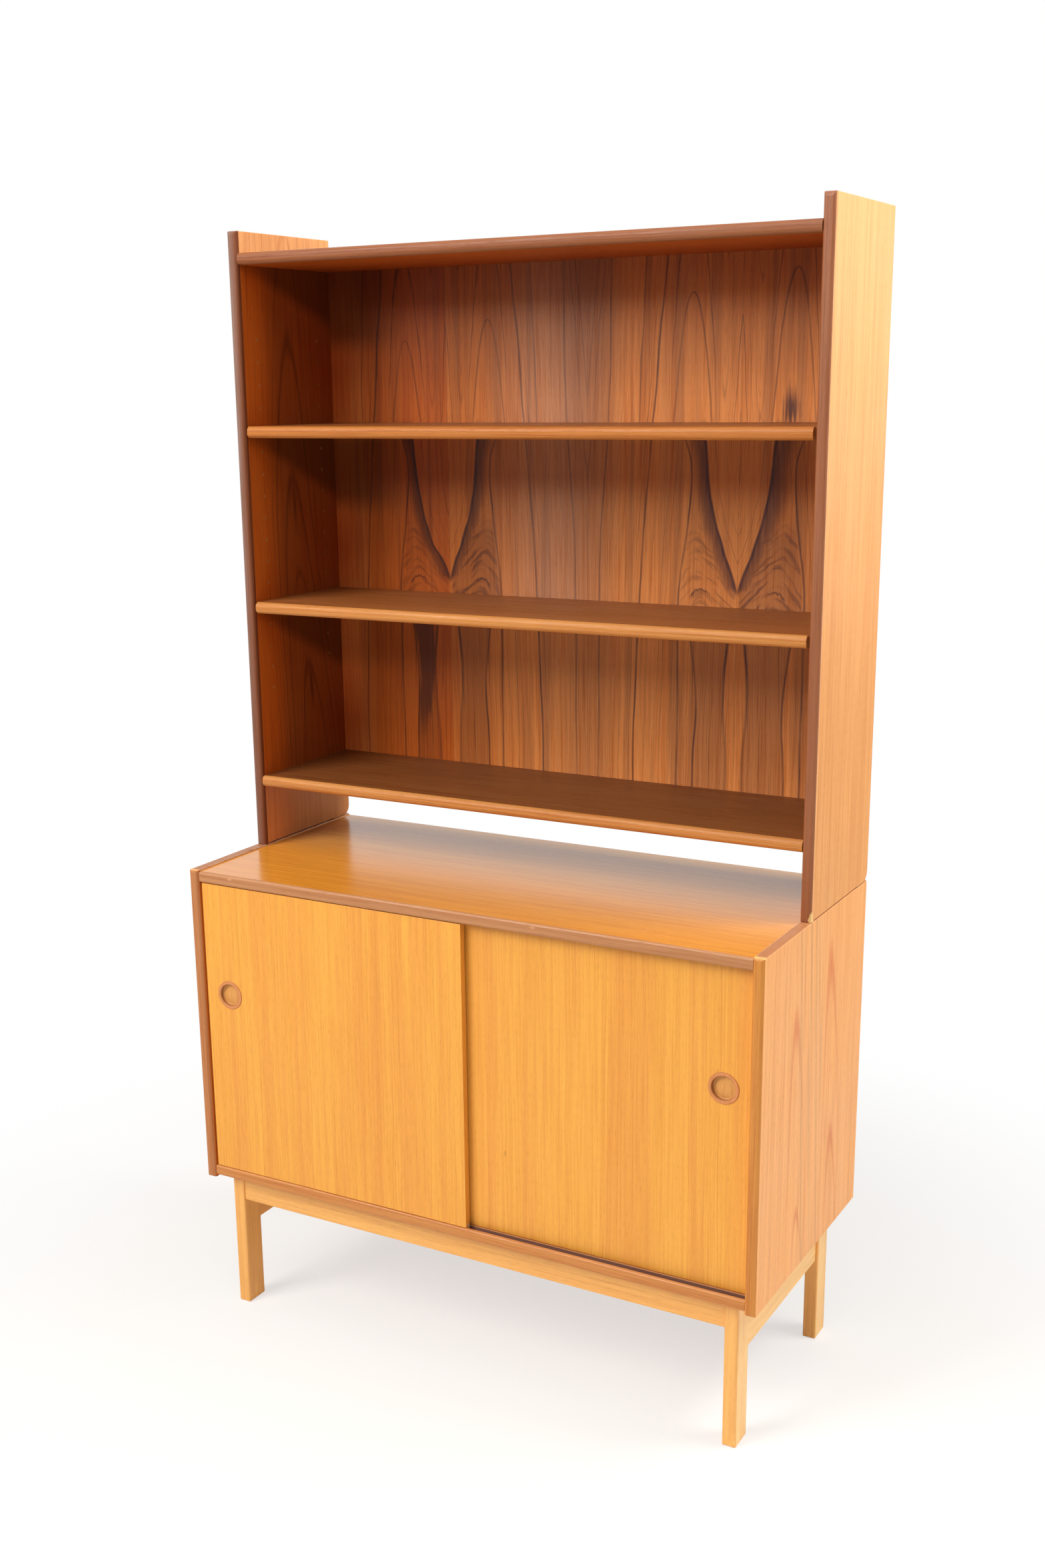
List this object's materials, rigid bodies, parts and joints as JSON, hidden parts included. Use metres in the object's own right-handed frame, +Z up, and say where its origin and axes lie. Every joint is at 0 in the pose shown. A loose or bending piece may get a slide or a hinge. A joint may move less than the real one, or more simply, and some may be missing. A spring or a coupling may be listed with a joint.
{
  "type": "bookcase",
  "caption": "Teak bookcase: an open hutch with adjustable shelves on a cabinet with two sliding doors and round finger pulls, on a blond leg frame.",
  "frame": {"origin": "on the floor, under the centre of the cabinet", "axes": "+X to the right as seen from the front, +Y to the rear, +Z up"},
  "size_m": [1, 0.437, 1.7835],
  "materials": {
    "side_veneer": "oiled teak veneer, satin",
    "side_lipping": "solid teak lipping, mauve brown, satin",
    "shelf_lipping": "solid teak lipping, orange brown, satin",
    "shelf_veneer": "oiled teak veneer, satin",
    "back_veneer": "figured teak veneer, book matched, satin",
    "top_veneer": "oiled teak veneer, orange, satin",
    "door_veneer": "straight grained teak veneer, satin",
    "turned_teak": "solid turned teak, satin",
    "inside_veneer": "plain teak veneer, satin",
    "blond_wood": "solid blond hardwood, lacquered",
    "dowel_wood": "bare beech",
    "steel": "bright drawn steel",
    "glide_plastic": "pale grey plastic"
  },
  "bodies": {
    "carcass": {"hutch_side_right": "side_veneer", "hutch_side_left": "side_veneer", "cabinet_side_right": "side_veneer", "cabinet_side_left": "side_veneer", "hutch_side_lipping_right": "side_lipping", "hutch_side_lipping_left": "side_lipping", "cabinet_side_lipping_right": "side_lipping", "cabinet_side_lipping_left": "side_lipping", "hutch_top_lipping": "side_lipping", "cabinet_top_lipping": "side_lipping", "cabinet_bottom_lipping": "side_lipping", "lower_shelf_lipping": "shelf_lipping", "hutch_top": "shelf_veneer", "lower_shelf": "shelf_veneer", "hutch_back": "back_veneer", "cabinet_top": "top_veneer", "cabinet_bottom": "inside_veneer", "cabinet_back": "inside_veneer", "partition": "inside_veneer", "partition_lipping": "inside_veneer", "leg_front_right": "blond_wood", "leg_front_left": "blond_wood", "leg_rear_right": "blond_wood", "leg_rear_left": "blond_wood", "apron_front": "blond_wood", "apron_rear": "blond_wood", "apron_right": "blond_wood", "apron_left": "blond_wood", "corner_blocks": "blond_wood", "hutch_dowels": "dowel_wood", "locating_dowels": "dowel_wood", "cabinet_dowels": "dowel_wood", "frame_dowels": "dowel_wood", "upper_shelf_wires": "steel", "middle_shelf_wires": "steel", "inner_shelf_wires_right": "steel", "inner_shelf_wires_left": "steel", "hutch_back_nails": "steel", "cabinet_back_nails": "steel", "frame_screws": "steel"},
    "left_door": {"door_left": "door_veneer", "finger_pull_left": "turned_teak", "door_glides_left": "glide_plastic"},
    "right_door": {"door_right": "door_veneer", "finger_pull_right": "turned_teak", "door_glides_right": "glide_plastic"},
    "upper_shelf_board": {"upper_shelf": "shelf_veneer", "upper_shelf_lipping": "shelf_lipping"},
    "middle_shelf_board": {"middle_shelf": "shelf_veneer", "middle_shelf_lipping": "shelf_lipping"},
    "right_inner_shelf_board": {"inner_shelf_right": "inside_veneer", "inner_shelf_lipping_right": "inside_veneer"},
    "left_inner_shelf_board": {"inner_shelf_left": "inside_veneer", "inner_shelf_lipping_left": "inside_veneer"}
  },
  "joints": [
    {"name": "left_door_slide", "type": "slide", "parent": "carcass", "child": "left_door", "axis": [1, 0, 0], "range_m": [-0.003, 0.4684]},
    {"name": "right_door_slide", "type": "slide", "parent": "carcass", "child": "right_door", "axis": [-1, 0, 0], "range_m": [0, 0.4714]},
    {"name": "upper_shelf_slide", "type": "slide", "parent": "carcass", "child": "upper_shelf_board", "axis": [0, -1, 0], "range_m": [0, 0.15]},
    {"name": "middle_shelf_slide", "type": "slide", "parent": "carcass", "child": "middle_shelf_board", "axis": [0, -1, 0], "range_m": [0, 0.15]},
    {"name": "right_inner_shelf_slide", "type": "slide", "parent": "carcass", "child": "right_inner_shelf_board", "axis": [0, -1, 0], "range_m": [0, 0.025]},
    {"name": "left_inner_shelf_slide", "type": "slide", "parent": "carcass", "child": "left_inner_shelf_board", "axis": [0, -1, 0], "range_m": [0, 0.025]}
  ]
}
